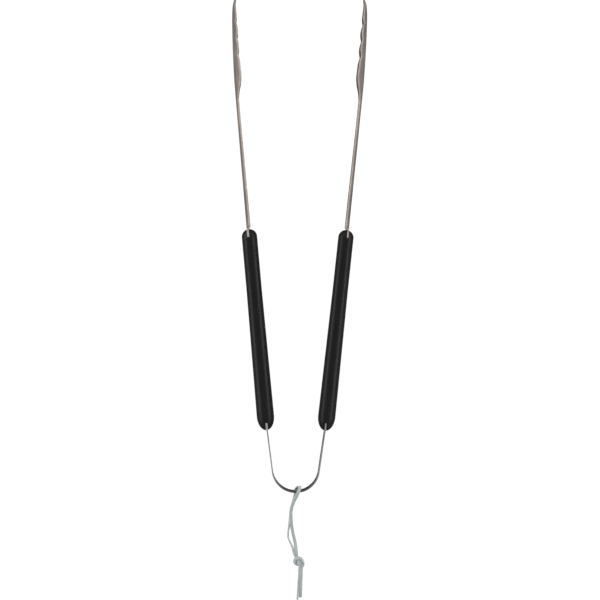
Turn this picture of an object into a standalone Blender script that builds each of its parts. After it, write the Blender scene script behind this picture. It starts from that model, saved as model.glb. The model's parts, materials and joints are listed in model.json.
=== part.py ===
"""Spring-loaded kitchen tongs, 450 mm long: a steel bow, two pressed arms, four grip scales and a lace.

Each side is modelled in its own grip frame, whose +Y runs up the grip's axis and whose +X points away
from the other arm. The right side is built and the left side is its mirror image. The whole object
lies on its side on a table: on the lower edge of its crown and on the lower rims of its two scoops.
"""

import math

import bmesh
import bpy
from mathutils import Matrix, Vector

# ---- Driving dimensions, in metres and radians ----

# Gap between pieces that touch, and round a rivet in its hole.
CLEARANCE = 0.0003

# Bow: one flat strip of spring steel, bent round the crown, with a leg in each grip.
STRIP_WIDTH = 0.0150
STRIP_THICKNESS = 0.0013
BOW_RADIUS = 0.0215
BOW_TURN = math.radians(81.0)
LEG_END = 0.0620
LACE_HOLE = 0.0050

# Grip: a turned bar with domed ends, thicker towards the crown.
GRIP_FOOT = (0.0269, 0.0568)
GRIP_SLANT = math.radians(5.57)
GRIP_LENGTH = 0.1853
GRIP_LOW_RADIUS = 0.00797
GRIP_HIGH_RADIUS = 0.00705
GRIP_LOW_DOME = 0.0130
GRIP_HIGH_DOME = 0.0070
GRIP_TAPER_END = 0.1300
KERF_DEPTH = 0.0073
SEAM_OFFSET = 0.00035

# Steel inside the grip: the bow's leg and the arm's tang lie face to face on either side of the seam.
TANG_WIDTH = 0.0100
TANG_START = 0.0120
TANG_RIVETS = (LEG_END - 0.0400, LEG_END - 0.0080)
TANG_RIVET_DIAMETER = 0.0030
RIVET_HEAD_DIAMETER = 0.0056
RIVET_HEAD_HEIGHT = 0.0010
GRIP_RIVETS = (0.0380, 0.0950, 0.1520)
GRIP_RIVET_DIAMETER = 0.0040

# Arm: pressed sheet, a shallow gutter from the grip to the neck.
SHEET = 0.0015
SHANK_LENGTH = 0.1180
SHANK_WIDTH = 0.0140
SHANK_HOLLOW = 0.0028
GUTTER_RUN = 0.0020
NECK_WIDTH = 0.0130
NECK_HOLLOW = 0.0019
NECK_FALL = 0.0006

# Scoop: the gutter opens into a ladle shape with a scalloped rim and a tip that hooks inwards.
HEAD_LENGTH = 0.0926
HEAD_WIDTH = 0.0320
HEAD_HOLLOW = 0.00575
HEAD_FALL = 0.0074
# Share of the head's length, then of its width, its hollow and its fall towards the other arm.
HEAD_SHAPE = (
    (0.085, 0.60, 0.50, 0.007),
    (0.170, 0.82, 0.87, 0.014),
    (0.240, 0.94, 1.00, 0.040),
    (0.346, 1.00, 0.905, 0.088),
    (0.508, 0.99, 0.81, 0.180),
    (0.670, 0.93, 0.72, 0.304),
    (0.800, 0.82, 0.583, 0.426),
    (0.886, 0.67, 0.417, 0.545),
    (0.950, 0.47, 0.21, 0.705),
    (0.986, 0.26, 0.08, 0.890),
    (1.000, 0.11, 0.03, 1.000),
)
NOTCH_COUNT = 3
NOTCH_START = 0.0407
NOTCH_PITCH = 0.01485
NOTCH_DEPTH = 0.0012

# Lace: a flat strip of suede, drawn here as a tube of the same cross-section.
LACE_TUBE = 0.0024
LACE_STEP = 0.0030
LACE_KNOT_CENTRE = (0.0035, -0.0646, 0.00325)
LACE_KNOT_RADII = (0.0052, 0.0056, 0.0032)
# Each route starts at the tongs' end. X is across, Y is from the crown's outer face, Z from the table.
LACE_ROUTES = {
    "lace_strand_a": (
        (0.0000, 0.0005, 0.0075),
        (-0.0002, -0.0026, 0.0073),
        (-0.0010, -0.0062, 0.0058),
        (-0.0021, -0.0104, 0.0037),
        (-0.0031, -0.0149, 0.0020),
        (-0.0038, -0.0193, 0.0014),
        (-0.0048, -0.0265, 0.0013),
        (-0.0058, -0.0338, 0.0013),
        (-0.0063, -0.0397, 0.0013),
        (-0.0058, -0.0439, 0.0013),
        (-0.0039, -0.0478, 0.0013),
        (-0.0020, -0.0520, 0.0014),
        (-0.0008, -0.0560, 0.0018),
        (0.0000, -0.0596, 0.0024),
    ),
    "lace_strand_b": (
        (0.0001, 0.0010, 0.0075),
        (0.0010, 0.0031, 0.0078),
        (0.0026, 0.0048, 0.0098),
        (0.0037, 0.0053, 0.0126),
        (0.0038, 0.0044, 0.0153),
        (0.0031, 0.0021, 0.0168),
        (0.0020, -0.0006, 0.0167),
        (0.0009, -0.0034, 0.0148),
        (-0.0007, -0.0070, 0.0116),
        (-0.0022, -0.0109, 0.0085),
        (-0.0034, -0.0149, 0.0063),
        (-0.0040, -0.0189, 0.0050),
        (-0.0036, -0.0261, 0.0042),
        (-0.0029, -0.0327, 0.0034),
        (-0.0018, -0.0382, 0.0020),
        (-0.0007, -0.0429, 0.0013),
        (0.0004, -0.0478, 0.0014),
        (0.0011, -0.0528, 0.0024),
        (0.0016, -0.0566, 0.0042),
        (0.0019, -0.0586, 0.0052),
    ),
    "lace_tail_a": (
        (0.0044, -0.0702, 0.0013),
        (0.0040, -0.0780, 0.0013),
        (0.0034, -0.0880, 0.0013),
        (0.0028, -0.0993, 0.0013),
    ),
    "lace_tail_b": (
        (0.0062, -0.0704, 0.0033),
        (0.0059, -0.0770, 0.0032),
        (0.0056, -0.0870, 0.0029),
        (0.0053, -0.0970, 0.0027),
    ),
}

# How finely curved surfaces are divided.
BOW_STEPS = 22
GRIP_STEPS = 28
DOME_STEPS = 5
RIVET_SIDES = 20
SECTION_COLUMNS = 8
SHANK_ROW = 0.0200
HEAD_ROWS = 38

# Well past any piece, for cutters that have to run right through.
BEYOND = 0.0400

# ---- Sizes that follow from those above ----

SEAM_HALF = CLEARANCE / 2
LEG_FACE = SEAM_OFFSET - SEAM_HALF
TANG_FACE = SEAM_OFFSET + SEAM_HALF
LEG_MIDDLE = LEG_FACE - STRIP_THICKNESS / 2
TANG_MIDDLE = TANG_FACE + SHEET / 2
LEG_BACK = LEG_FACE - STRIP_THICKNESS
TANG_BACK = TANG_FACE + SHEET
KERF_TOP = GRIP_LENGTH - KERF_DEPTH
NECK = GRIP_LENGTH + SHANK_LENGTH
TIP = NECK + HEAD_LENGTH

COLOURS = {
    "steel": ((0.42, 0.40, 0.38, 1.0), 0.35, 1.0),
    "strip": ((0.50, 0.49, 0.48, 1.0), 0.30, 1.0),
    "grip": ((0.020, 0.018, 0.018, 1.0), 0.55, 0.0),
    "rivet": ((0.45, 0.44, 0.42, 1.0), 0.35, 1.0),
    "lace": ((0.42, 0.46, 0.44, 1.0), 0.95, 0.0),
}


# ---- Helpers ----


def clear_scene():
    for obj in list(bpy.data.objects):
        bpy.data.objects.remove(obj, do_unlink=True)


def collection(name, cutters=False):
    group = bpy.data.collections.new(name)
    bpy.context.scene.collection.children.link(group)
    group.hide_render = cutters
    return group


def materials():
    made = {}
    for name, (colour, roughness, metallic) in COLOURS.items():
        material = bpy.data.materials.new(name)
        material.use_nodes = True
        shader = material.node_tree.nodes["Principled BSDF"]
        shader.inputs["Base Color"].default_value = colour
        shader.inputs["Roughness"].default_value = roughness
        shader.inputs["Metallic"].default_value = metallic
        made[name] = material
    return made


def empty(name, parent=None, location=(0, 0, 0), turn=0.0):
    obj = bpy.data.objects.new(name, None)
    PARTS.objects.link(obj)
    obj.parent = parent
    obj.location = location
    obj.rotation_euler = (0, 0, turn)
    return obj


def piece(name, mesh, parent, finish, smooth=math.radians(35)):
    obj = bpy.data.objects.new(name, mesh)
    PARTS.objects.link(obj)
    obj.parent = parent
    mesh.materials.clear()
    mesh.materials.append(FINISHES[finish])
    mesh.shade_smooth()
    mesh.set_sharp_from_angle(angle=smooth)
    return obj


def cutter(name, mesh, parent):
    obj = bpy.data.objects.new(name, mesh)
    CUTTERS.objects.link(obj)
    obj.parent = parent
    obj.hide_render = True
    obj.display_type = "WIRE"
    return obj


def cut(obj, *tools):
    for tool in tools:
        modifier = obj.modifiers.new("cut " + tool.name, "BOOLEAN")
        modifier.operation = "DIFFERENCE"
        modifier.object = tool


def box_mesh(name, low, high):
    low, high = Vector(low), Vector(high)
    made = bmesh.new()
    bmesh.ops.create_cube(made, size=1.0)
    bmesh.ops.scale(made, vec=high - low, verts=made.verts)
    bmesh.ops.translate(made, vec=(low + high) / 2, verts=made.verts)
    mesh = bpy.data.meshes.new(name)
    made.to_mesh(mesh)
    made.free()
    return mesh


def rods_mesh(name, rods, axis="X"):
    """Closed round rods, each (diameter, place up the grip, start, end), along the grip's X or the bow's Y."""
    made = bmesh.new()
    for diameter, place, start, end in rods:
        rod = bmesh.ops.create_cone(
            made, cap_ends=True, segments=RIVET_SIDES,
            radius1=diameter / 2, radius2=diameter / 2, depth=end - start,
        )
        turn = Matrix.Rotation(math.pi / 2, 4, "Y" if axis == "X" else "X")
        middle = (start + end) / 2
        put = Matrix.Translation((middle, place, 0) if axis == "X" else (place, middle, 0))
        bmesh.ops.transform(made, matrix=put @ turn, verts=rod["verts"])
    mesh = bpy.data.meshes.new(name)
    made.to_mesh(mesh)
    made.free()
    return mesh


def sheet_mesh(name, rows):
    """An open sheet through rows of points."""
    made = bmesh.new()
    grid = [[made.verts.new(point) for point in row] for row in rows]
    for low, high in zip(grid, grid[1:]):
        for i in range(len(low) - 1):
            made.faces.new((low[i], low[i + 1], high[i + 1], high[i]))
    mesh = bpy.data.meshes.new(name)
    made.to_mesh(mesh)
    made.free()
    return mesh


def thicken(obj, thickness):
    modifier = obj.modifiers.new("thickness", "SOLIDIFY")
    modifier.thickness = thickness
    modifier.offset = 0.0
    modifier.use_even_offset = True


def smooth_through(knots, at):
    """Value at a place on the smooth curve through (place, value) knots, which never overshoots them."""
    if at <= knots[0][0]:
        return knots[0][1]
    if at >= knots[-1][0]:
        return knots[-1][1]
    rises = [(b[1] - a[1]) / (b[0] - a[0]) for a, b in zip(knots, knots[1:])]
    slopes = [rises[0]]
    for before, after in zip(rises, rises[1:]):
        slopes.append(2 * before * after / (before + after) if before * after > 0 else 0.0)
    slopes.append(rises[-1])
    i = max(k for k in range(len(knots) - 1) if knots[k][0] <= at)
    (start, low), (end, high) = knots[i], knots[i + 1]
    span = end - start
    t = (at - start) / span
    return (
        low * (1 + 2 * t) * (1 - t) ** 2
        + high * t * t * (3 - 2 * t)
        + span * (slopes[i] * t * (1 - t) ** 2 + slopes[i + 1] * t * t * (t - 1))
    )


def route_points(route, step):
    """Points a step apart on a smooth curve through the route's own points."""
    ends = [Vector(point) for point in route]
    ends = [2 * ends[0] - ends[1]] + ends + [2 * ends[-1] - ends[-2]]
    fine = []
    for before, start, end, after in zip(ends, ends[1:], ends[2:], ends[3:]):
        count = max(1, round((end - start).length / step))
        for k in range(count):
            t = k / count
            fine.append(
                start
                + 0.5 * t * (end - before)
                + t * t * (before - 2.5 * start + 2 * end - 0.5 * after)
                + t ** 3 * (1.5 * (start - end) + 0.5 * (after - before))
            )
    return fine + [ends[-2]]


# ---- The grip's own shape ----


def grip_radius(place):
    """Radius of the turned grip at a distance from its lower end."""
    body = smooth_through(
        ((GRIP_LOW_DOME, GRIP_LOW_RADIUS), (GRIP_TAPER_END, GRIP_HIGH_RADIUS)), place
    )
    for dome, inside in ((GRIP_LOW_DOME, place), (GRIP_HIGH_DOME, GRIP_LENGTH - place)):
        if inside < dome:
            body *= math.sqrt(max(0.0, 1 - (1 - inside / dome) ** 2))
    return body


def grip_profile():
    """Half outline of the grip, from its top to its foot, for a Screw about Z."""
    quarter = [math.sin(math.pi / 2 * k / DOME_STEPS) for k in range(DOME_STEPS + 1)]
    rise = [1 - math.cos(math.asin(share)) for share in quarter]
    low = [GRIP_LOW_DOME * share for share in rise]
    high = [GRIP_LENGTH - GRIP_HIGH_DOME * share for share in rise]
    middle = [GRIP_LOW_DOME + (GRIP_TAPER_END - GRIP_LOW_DOME) * k / 4 for k in (1, 2, 3, 4)]
    places = sorted(set(low + middle + high), reverse=True)
    return [(grip_radius(place), 0.0, place) for place in places]


def turned(name, profile, parent, finish, steps):
    """A solid turned about its own Z, with the profile's ends on the axis."""
    mesh = bpy.data.meshes.new(name)
    edges = [(k, k + 1) for k in range(len(profile) - 1)]
    mesh.from_pydata(profile, edges, [])
    obj = piece(name, mesh, parent, finish)
    screw = obj.modifiers.new("turn", "SCREW")
    screw.axis = "Z"
    screw.steps = screw.render_steps = steps
    screw.use_merge_vertices = True
    screw.merge_threshold = 1e-5
    return obj


# ---- Pieces ----


def bow_path():
    """Centre line of the strip: leg, crown arc and leg, with each point's half width."""
    along = Vector((math.sin(GRIP_SLANT), math.cos(GRIP_SLANT)))
    out = Vector((math.cos(GRIP_SLANT), -math.sin(GRIP_SLANT)))
    foot = Vector(GRIP_FOOT) + out * LEG_MIDDLE
    shoulder = KERF_DEPTH - CLEARANCE
    half = [
        (foot + along * LEG_END, TANG_WIDTH / 2),
        (foot + along * (shoulder + CLEARANCE), TANG_WIDTH / 2),
        (foot + along * shoulder, STRIP_WIDTH / 2),
        (foot, STRIP_WIDTH / 2),
    ]
    centre = Vector((0.0, STRIP_THICKNESS / 2 + BOW_RADIUS))
    for k in range(BOW_STEPS):
        angle = BOW_TURN * (1 - k / BOW_STEPS)
        turn = Vector((math.sin(angle), -math.cos(angle)))
        half.append((centre + turn * BOW_RADIUS, STRIP_WIDTH / 2))
    crown = [(centre - Vector((0.0, BOW_RADIUS)), STRIP_WIDTH / 2)]
    other = [(Vector((-point.x, point.y)), width) for point, width in reversed(half)]
    return half + crown + other


def bow_spring():
    rows = [
        [(point.x, point.y, -width), (point.x, point.y, width)] for point, width in bow_path()
    ]
    obj = piece("bow_spring", sheet_mesh("bow_spring", rows), FRAME, "strip")
    thicken(obj, STRIP_THICKNESS)
    hole = rods_mesh("lace_hole", [(LACE_HOLE, 0.0, -BOW_RADIUS / 2, BOW_RADIUS / 2)], axis="Y")
    cut(obj, cutter("lace_hole", hole, FRAME), LEG_HOLES)
    return obj


def scallop(place):
    """How deep the rim is notched at a distance from the neck."""
    phase = (place - NOTCH_START) / NOTCH_PITCH
    if not -0.5 < phase < NOTCH_COUNT - 0.5:
        return 0.0
    return NOTCH_DEPTH * (1 - abs(math.sin(math.pi * phase)))


def arm_section(place):
    """Half width, hollow and back of the arm at a distance from the grip's lower end."""
    head = [(0.0, NECK_WIDTH / HEAD_WIDTH, NECK_HOLLOW / HEAD_HOLLOW, 0.0), *HEAD_SHAPE]
    start = [(GRIP_LENGTH, SHANK_WIDTH), (NECK - SHANK_LENGTH / 10, NECK_WIDTH)]
    widths = start + [(NECK + HEAD_LENGTH * row[0], HEAD_WIDTH * row[1]) for row in head]
    start = [(GRIP_LENGTH, 0.0), (GRIP_LENGTH + GUTTER_RUN, SHANK_HOLLOW)]
    hollows = start + [(NECK + HEAD_LENGTH * row[0], HEAD_HOLLOW * row[2]) for row in head]
    start = [(GRIP_LENGTH, 0.0)]
    falls = start + [
        (NECK + HEAD_LENGTH * row[0], NECK_FALL + HEAD_FALL * row[3]) for row in head
    ]
    width = smooth_through(widths, place) if place > KERF_TOP + CLEARANCE else TANG_WIDTH
    return width / 2, smooth_through(hollows, place), TANG_MIDDLE - smooth_through(falls, place)


def arm_row(place):
    half, hollow, back = arm_section(place)
    notch = scallop(place - NECK)
    reach = math.sqrt(1 - notch / hollow) if notch else 1.0
    row = []
    for k in range(SECTION_COLUMNS + 1):
        across = reach * (2 * k / SECTION_COLUMNS - 1)
        row.append((back - hollow * across ** 2, place, half * across))
    return row


def arm_places():
    """Where the arm's sections are: close together at the shoulder and along the scalloped rim."""
    shoulder = KERF_TOP + CLEARANCE
    places = [TANG_START, shoulder, shoulder + CLEARANCE]
    places += [GRIP_LENGTH + GUTTER_RUN * share for share in (0.0, 0.25, 0.5, 0.75)]
    length = SHANK_LENGTH - GUTTER_RUN
    count = round(length / SHANK_ROW)
    places += [GRIP_LENGTH + GUTTER_RUN + length * k / count for k in range(count)]
    places += [NECK + HEAD_LENGTH * k / HEAD_ROWS for k in range(HEAD_ROWS)]
    places += [NECK + NOTCH_START + NOTCH_PITCH * k for k in range(NOTCH_COUNT)]
    places += [NECK + HEAD_LENGTH * row[0] for row in HEAD_SHAPE[-3:]]
    return sorted(places)


def spread(places, least):
    """The places with any that crowds the one before it left out."""
    kept = [places[0]]
    for place in places[1:]:
        if place - kept[-1] >= least:
            kept.append(place)
    return kept


def right_arm():
    rows = [arm_row(place) for place in spread(arm_places(), CLEARANCE / 2)]
    obj = piece("right_arm", sheet_mesh("right_arm", rows), GRIP, "steel")
    thicken(obj, SHEET)
    cut(obj, TANG_HOLES)
    return obj


def right_scale(name, outer):
    """One half of the grip, let in for the steel that lies on its side of the seam."""
    obj = turned(name, grip_profile(), GRIP, "grip", GRIP_STEPS)
    obj.rotation_euler = (-math.pi / 2, 0, 0)
    cut(obj, OTHER_HALF[outer], *SLOTS[outer], SCALE_HOLES, HEAD_RECESSES)
    return obj


def right_grip_rivet(number, place):
    """A plain pin, cut off flush with the round grip on both sides."""
    reach = math.sqrt(grip_radius(place) ** 2 - (GRIP_RIVET_DIAMETER / 2) ** 2)
    name = f"right_grip_rivet_{number}"
    return piece(name, rods_mesh(name, [(GRIP_RIVET_DIAMETER, place, -reach, reach)]), GRIP, "rivet")


def right_tang_rivet(number, place):
    """A short rivet with two heads, which holds the leg and the tang together inside the grip."""
    inner, outer = LEG_BACK - CLEARANCE, TANG_BACK + CLEARANCE
    shank, head = TANG_RIVET_DIAMETER / 2, RIVET_HEAD_DIAMETER / 2
    profile = [
        (0.0, 0.0, outer + RIVET_HEAD_HEIGHT),
        (head, 0.0, outer + RIVET_HEAD_HEIGHT),
        (head, 0.0, outer),
        (shank, 0.0, outer),
        (shank, 0.0, inner),
        (head, 0.0, inner),
        (head, 0.0, inner - RIVET_HEAD_HEIGHT),
        (0.0, 0.0, inner - RIVET_HEAD_HEIGHT),
    ]
    obj = turned(f"right_tang_rivet_{number}", profile, GRIP, "rivet", RIVET_SIDES)
    obj.location = (0.0, place, 0.0)
    obj.rotation_euler = (0, math.pi / 2, 0)
    return obj


def mirrored(right, name):
    """The left piece: the right one as it is built, mirrored in the grip's frame."""
    graph = bpy.context.evaluated_depsgraph_get()
    mesh = bpy.data.meshes.new_from_object(right.evaluated_get(graph))
    flip = Matrix.Scale(-1, 4, (1, 0, 0))
    mesh.transform(flip @ GRIP.matrix_world.inverted() @ right.matrix_world)
    mesh.flip_normals()
    obj = bpy.data.objects.new(name, mesh)
    PARTS.objects.link(obj)
    obj.parent = LEFT_GRIP
    return obj


def lace_tube(name, route, parent):
    curve = bpy.data.curves.new(name, "CURVE")
    curve.dimensions = "3D"
    curve.bevel_depth = LACE_TUBE / 2
    curve.bevel_resolution = 2
    curve.use_fill_caps = True
    points = route_points(route, LACE_STEP)
    spline = curve.splines.new("POLY")
    spline.points.add(len(points) - 1)
    for target, point in zip(spline.points, points):
        target.co = (*point, 1.0)
    obj = bpy.data.objects.new(name, curve)
    PARTS.objects.link(obj)
    obj.parent = parent
    curve.materials.append(FINISHES["lace"])
    return obj


def lace_knot(parent):
    made = bmesh.new()
    bmesh.ops.create_uvsphere(made, u_segments=20, v_segments=12, radius=1.0)
    bmesh.ops.scale(made, vec=LACE_KNOT_RADII, verts=made.verts)
    mesh = bpy.data.meshes.new("lace_knot")
    made.to_mesh(mesh)
    made.free()
    obj = piece("lace_knot", mesh, parent, "lace")
    obj.location = LACE_KNOT_CENTRE
    return obj


def lay_down(pieces):
    """Turns the tongs about the crown's lower edge until the scoops touch the table, and centres them."""
    bpy.context.view_layer.update()
    graph = bpy.context.evaluated_depsgraph_get()
    points = []
    for obj in pieces:
        shape = obj.evaluated_get(graph)
        points += [shape.matrix_world @ corner.co for corner in shape.data.vertices]
    rise = max(math.atan2(-point.z - STRIP_WIDTH / 2, point.y) for point in points if point.y > BOW_RADIUS)
    turn = Matrix.Rotation(rise, 4, "X")
    along = [(turn @ point).y for point in points]
    FRAME.rotation_euler = (rise, 0, 0)
    crown = turn @ Vector((0, 0, -STRIP_WIDTH / 2))
    FRAME.location = (0, -(min(along) + max(along)) / 2, -crown.z)
    return FRAME.location.y + crown.y


# ---- Assembly ----

clear_scene()
PARTS = collection("kitchen_tongs")
CUTTERS = collection("cutters", cutters=True)
FINISHES = materials()

FRAME = empty("tongs_frame")
PIVOT = Vector(
    (
        BOW_RADIUS * math.sin(BOW_TURN),
        STRIP_THICKNESS / 2 + BOW_RADIUS * (1 - math.cos(BOW_TURN)),
        0.0,
    )
)
HINGE = empty("right_hinge", FRAME, PIVOT)
LEFT_HINGE = empty("left_hinge", FRAME, (-PIVOT.x, PIVOT.y, 0.0))
FOOT = Vector((*GRIP_FOOT, 0.0)) - PIVOT
GRIP = empty("right_grip_axis", HINGE, FOOT, -GRIP_SLANT)
LEFT_GRIP = empty("left_grip_axis", LEFT_HINGE, (-FOOT.x, FOOT.y, 0.0), GRIP_SLANT)

# Cutters that several pieces share, so that a rivet's holes line up through all of them.
GRIP_HOLE = GRIP_RIVET_DIAMETER + 2 * CLEARANCE
TANG_HOLE = TANG_RIVET_DIAMETER + 2 * CLEARANCE
HEAD_HOLE = RIVET_HEAD_DIAMETER + 2 * CLEARANCE
grip_holes = [(GRIP_HOLE, place, -BEYOND / 2, BEYOND / 2) for place in GRIP_RIVETS]
tang_holes = [(TANG_HOLE, place, -BEYOND / 2, BEYOND / 2) for place in TANG_RIVETS]
recesses = [
    (
        HEAD_HOLE,
        place,
        LEG_BACK - RIVET_HEAD_HEIGHT - 2 * CLEARANCE,
        TANG_BACK + RIVET_HEAD_HEIGHT + 2 * CLEARANCE,
    )
    for place in TANG_RIVETS
]
SCALE_HOLES = cutter("scale_holes", rods_mesh("scale_holes", grip_holes), GRIP)
TANG_HOLES = cutter("tang_holes", rods_mesh("tang_holes", grip_holes + tang_holes), GRIP)
HEAD_RECESSES = cutter("head_recesses", rods_mesh("head_recesses", recesses), GRIP)
leg_holes = [hole for hole in grip_holes + tang_holes if hole[1] < LEG_END]
LEG_HOLES = cutter("leg_holes", rods_mesh("leg_holes", leg_holes), GRIP)
both_legs = LEG_HOLES.modifiers.new("both legs", "MIRROR")
both_legs.mirror_object = FRAME
both_legs.merge_threshold = 1e-5

POCKET = TANG_WIDTH / 2 + CLEARANCE


def slot(name, low_x, high_x, low_y, high_y, half_z):
    return cutter(name, box_mesh(name, (low_x, low_y, -half_z), (high_x, high_y, half_z)), GRIP)


OTHER_HALF = {
    False: slot("outer_half", LEG_FACE, BEYOND, -BEYOND, GRIP_LENGTH + BEYOND, BEYOND),
    True: slot("inner_half", -BEYOND, TANG_FACE, -BEYOND, GRIP_LENGTH + BEYOND, BEYOND),
}
LEG_SLOT = (LEG_BACK - CLEARANCE, BEYOND)
TANG_SLOT = (-BEYOND, TANG_BACK + CLEARANCE)
SLOTS = {
    False: (
        slot("leg_kerf", *LEG_SLOT, -BEYOND, KERF_DEPTH, BEYOND),
        slot("leg_pocket", *LEG_SLOT, 0.0, LEG_END + CLEARANCE, POCKET),
    ),
    True: (
        slot("tang_pocket", *TANG_SLOT, TANG_START - CLEARANCE, GRIP_LENGTH, POCKET),
        slot("arm_kerf", *TANG_SLOT, KERF_TOP, GRIP_LENGTH + BEYOND, BEYOND),
    ),
}

bow = bow_spring()
right = [
    right_arm(),
    right_scale("right_inner_scale", outer=False),
    right_scale("right_outer_scale", outer=True),
]
right += [right_grip_rivet(k, place) for k, place in enumerate(GRIP_RIVETS, 1)]
right += [right_tang_rivet(k, place) for k, place in enumerate(TANG_RIVETS, 1)]
bpy.context.view_layer.update()
left = [mirrored(obj, obj.name.replace("right", "left")) for obj in right]

crown_place = lay_down([bow, *right, *left])
TABLE = empty("table_at_crown", None, (0.0, crown_place, 0.0))
for name, route in LACE_ROUTES.items():
    lace_tube(name, route, TABLE)
lace_knot(TABLE)
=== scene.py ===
# %% [markdown]
# # Long spring tongs
#
# The tongs are a bent steel bow, two pressed steel arms, four black grip scales held by rivets, and a
# suede lace to hang them by. They lie on their side on a table. The solid model is loaded first, as a
# frame that is never moved. Each cell below then makes one piece or one finish in full detail, exactly
# where the frame has its plain solid, so that the joints still work on what is seen.

import json
import math

import bmesh
import bpy
import numpy as np
from mathutils import Matrix, Vector


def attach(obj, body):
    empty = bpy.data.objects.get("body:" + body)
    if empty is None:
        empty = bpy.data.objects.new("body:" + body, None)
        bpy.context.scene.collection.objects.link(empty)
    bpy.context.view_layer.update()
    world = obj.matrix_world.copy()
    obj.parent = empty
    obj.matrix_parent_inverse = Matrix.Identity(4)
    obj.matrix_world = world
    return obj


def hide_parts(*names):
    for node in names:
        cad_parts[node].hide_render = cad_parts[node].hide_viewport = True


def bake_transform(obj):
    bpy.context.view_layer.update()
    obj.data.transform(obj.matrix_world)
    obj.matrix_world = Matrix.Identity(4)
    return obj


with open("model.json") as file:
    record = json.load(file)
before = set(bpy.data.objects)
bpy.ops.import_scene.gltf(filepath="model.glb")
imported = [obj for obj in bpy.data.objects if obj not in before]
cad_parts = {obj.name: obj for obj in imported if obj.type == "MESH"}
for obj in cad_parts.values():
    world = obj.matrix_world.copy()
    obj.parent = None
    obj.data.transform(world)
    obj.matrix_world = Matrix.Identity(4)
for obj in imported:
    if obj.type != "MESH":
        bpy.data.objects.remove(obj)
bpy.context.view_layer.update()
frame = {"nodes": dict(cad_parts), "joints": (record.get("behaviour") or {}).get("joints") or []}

# %% [markdown]
# ## One place for the sizes
#
# The visible pieces have to sit where the solids sit, so both use the same driving dimensions, in
# metres. The tongs have a frame of their own: X across, Y from the crown to the tips, Z up the width of
# the strip. The joint's axis says how far that frame leans on the table, and the joint's place says
# where it is, so neither has to be typed in again.

# %% Name the driving dimensions
STRIP_WIDTH = 0.0150
STRIP_THICKNESS = 0.0013
BOW_RADIUS = 0.0215
BOW_TURN = math.radians(81.0)
LEG_END = 0.0620
GRIP_FOOT = (0.0269, 0.0568)
GRIP_SLANT = math.radians(5.57)
GRIP_LENGTH = 0.1853
GRIP_LOW_RADIUS = 0.00797
GRIP_HIGH_RADIUS = 0.00705
GRIP_LOW_DOME = 0.0130
GRIP_HIGH_DOME = 0.0070
GRIP_TAPER_END = 0.1300
KERF_DEPTH = 0.0073
SEAM_OFFSET = 0.00035
CLEARANCE = 0.0003
TANG_WIDTH = 0.0100
TANG_START = 0.0120
GRIP_RIVETS = (0.0380, 0.0950, 0.1520)
GRIP_RIVET_DIAMETER = 0.0040
SHEET = 0.0015
SHANK_LENGTH = 0.1180
SHANK_WIDTH = 0.0140
SHANK_HOLLOW = 0.0028
GUTTER_RUN = 0.0020
NECK_WIDTH = 0.0130
NECK_HOLLOW = 0.0019
NECK_FALL = 0.0006
HEAD_LENGTH = 0.0926
HEAD_WIDTH = 0.0320
HEAD_HOLLOW = 0.00575
HEAD_FALL = 0.0074
# Share of the head's length, then of its width, its hollow and its fall towards the other arm.
HEAD_SHAPE = (
    (0.085, 0.60, 0.50, 0.007),
    (0.170, 0.82, 0.87, 0.014),
    (0.240, 0.94, 1.00, 0.040),
    (0.346, 1.00, 0.905, 0.088),
    (0.508, 0.99, 0.81, 0.180),
    (0.670, 0.93, 0.72, 0.304),
    (0.800, 0.82, 0.583, 0.426),
    (0.886, 0.67, 0.417, 0.545),
    (0.950, 0.47, 0.21, 0.705),
    (0.986, 0.26, 0.08, 0.890),
    (1.000, 0.11, 0.03, 1.000),
)
NOTCH_COUNT = 3
NOTCH_START = 0.0407
NOTCH_PITCH = 0.01485
NOTCH_DEPTH = 0.0012

LEG_FACE = SEAM_OFFSET - CLEARANCE / 2
TANG_FACE = SEAM_OFFSET + CLEARANCE / 2
LEG_MIDDLE = LEG_FACE - STRIP_THICKNESS / 2
LEG_BACK = LEG_FACE - STRIP_THICKNESS
TANG_MIDDLE = TANG_FACE + SHEET / 2
TANG_BACK = TANG_FACE + SHEET
KERF_TOP = GRIP_LENGTH - KERF_DEPTH
NECK = GRIP_LENGTH + SHANK_LENGTH
TIP = NECK + HEAD_LENGTH
SIDES = {"right": 1, "left": -1}

# %% Find the tongs' own frame from a joint
hinge = next(joint for joint in frame["joints"] if joint["name"] == "right_arm_flex")
lean = math.atan2(-hinge["axis"][1], hinge["axis"][2])
pivot = Vector(
    (
        BOW_RADIUS * math.sin(BOW_TURN),
        STRIP_THICKNESS / 2 + BOW_RADIUS * (1 - math.cos(BOW_TURN)),
        0.0,
    )
)
TURN = Matrix.Rotation(lean, 3, "X")
ORIGIN = Vector(hinge["pos_m"]) - TURN @ pivot
TONGS = Matrix.Translation(ORIGIN) @ TURN.to_4x4()
print("the tongs lean", round(math.degrees(lean), 2), "degrees; crown at", [round(v, 4) for v in ORIGIN])


def grip_frame(side):
    """The matrix that carries one grip's own coordinates to the world. X points away from the other arm."""
    turn = Matrix.Rotation(-GRIP_SLANT, 4, "Z")
    mirror = Matrix.Diagonal((side, 1.0, 1.0, 1.0))
    return TONGS @ mirror @ Matrix.Translation((*GRIP_FOOT, 0.0)) @ turn


# %% [markdown]
# ## Shader sums as Python
#
# A material's pattern is a sum of masks and noises. Wiring Math nodes by hand hides that sum, so a
# small class wraps a socket and adds a Math node for each operator. `1 - mask * 0.5` then reads as it
# is meant, and any other node comes from one method.

# %% Wrap a socket


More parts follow.
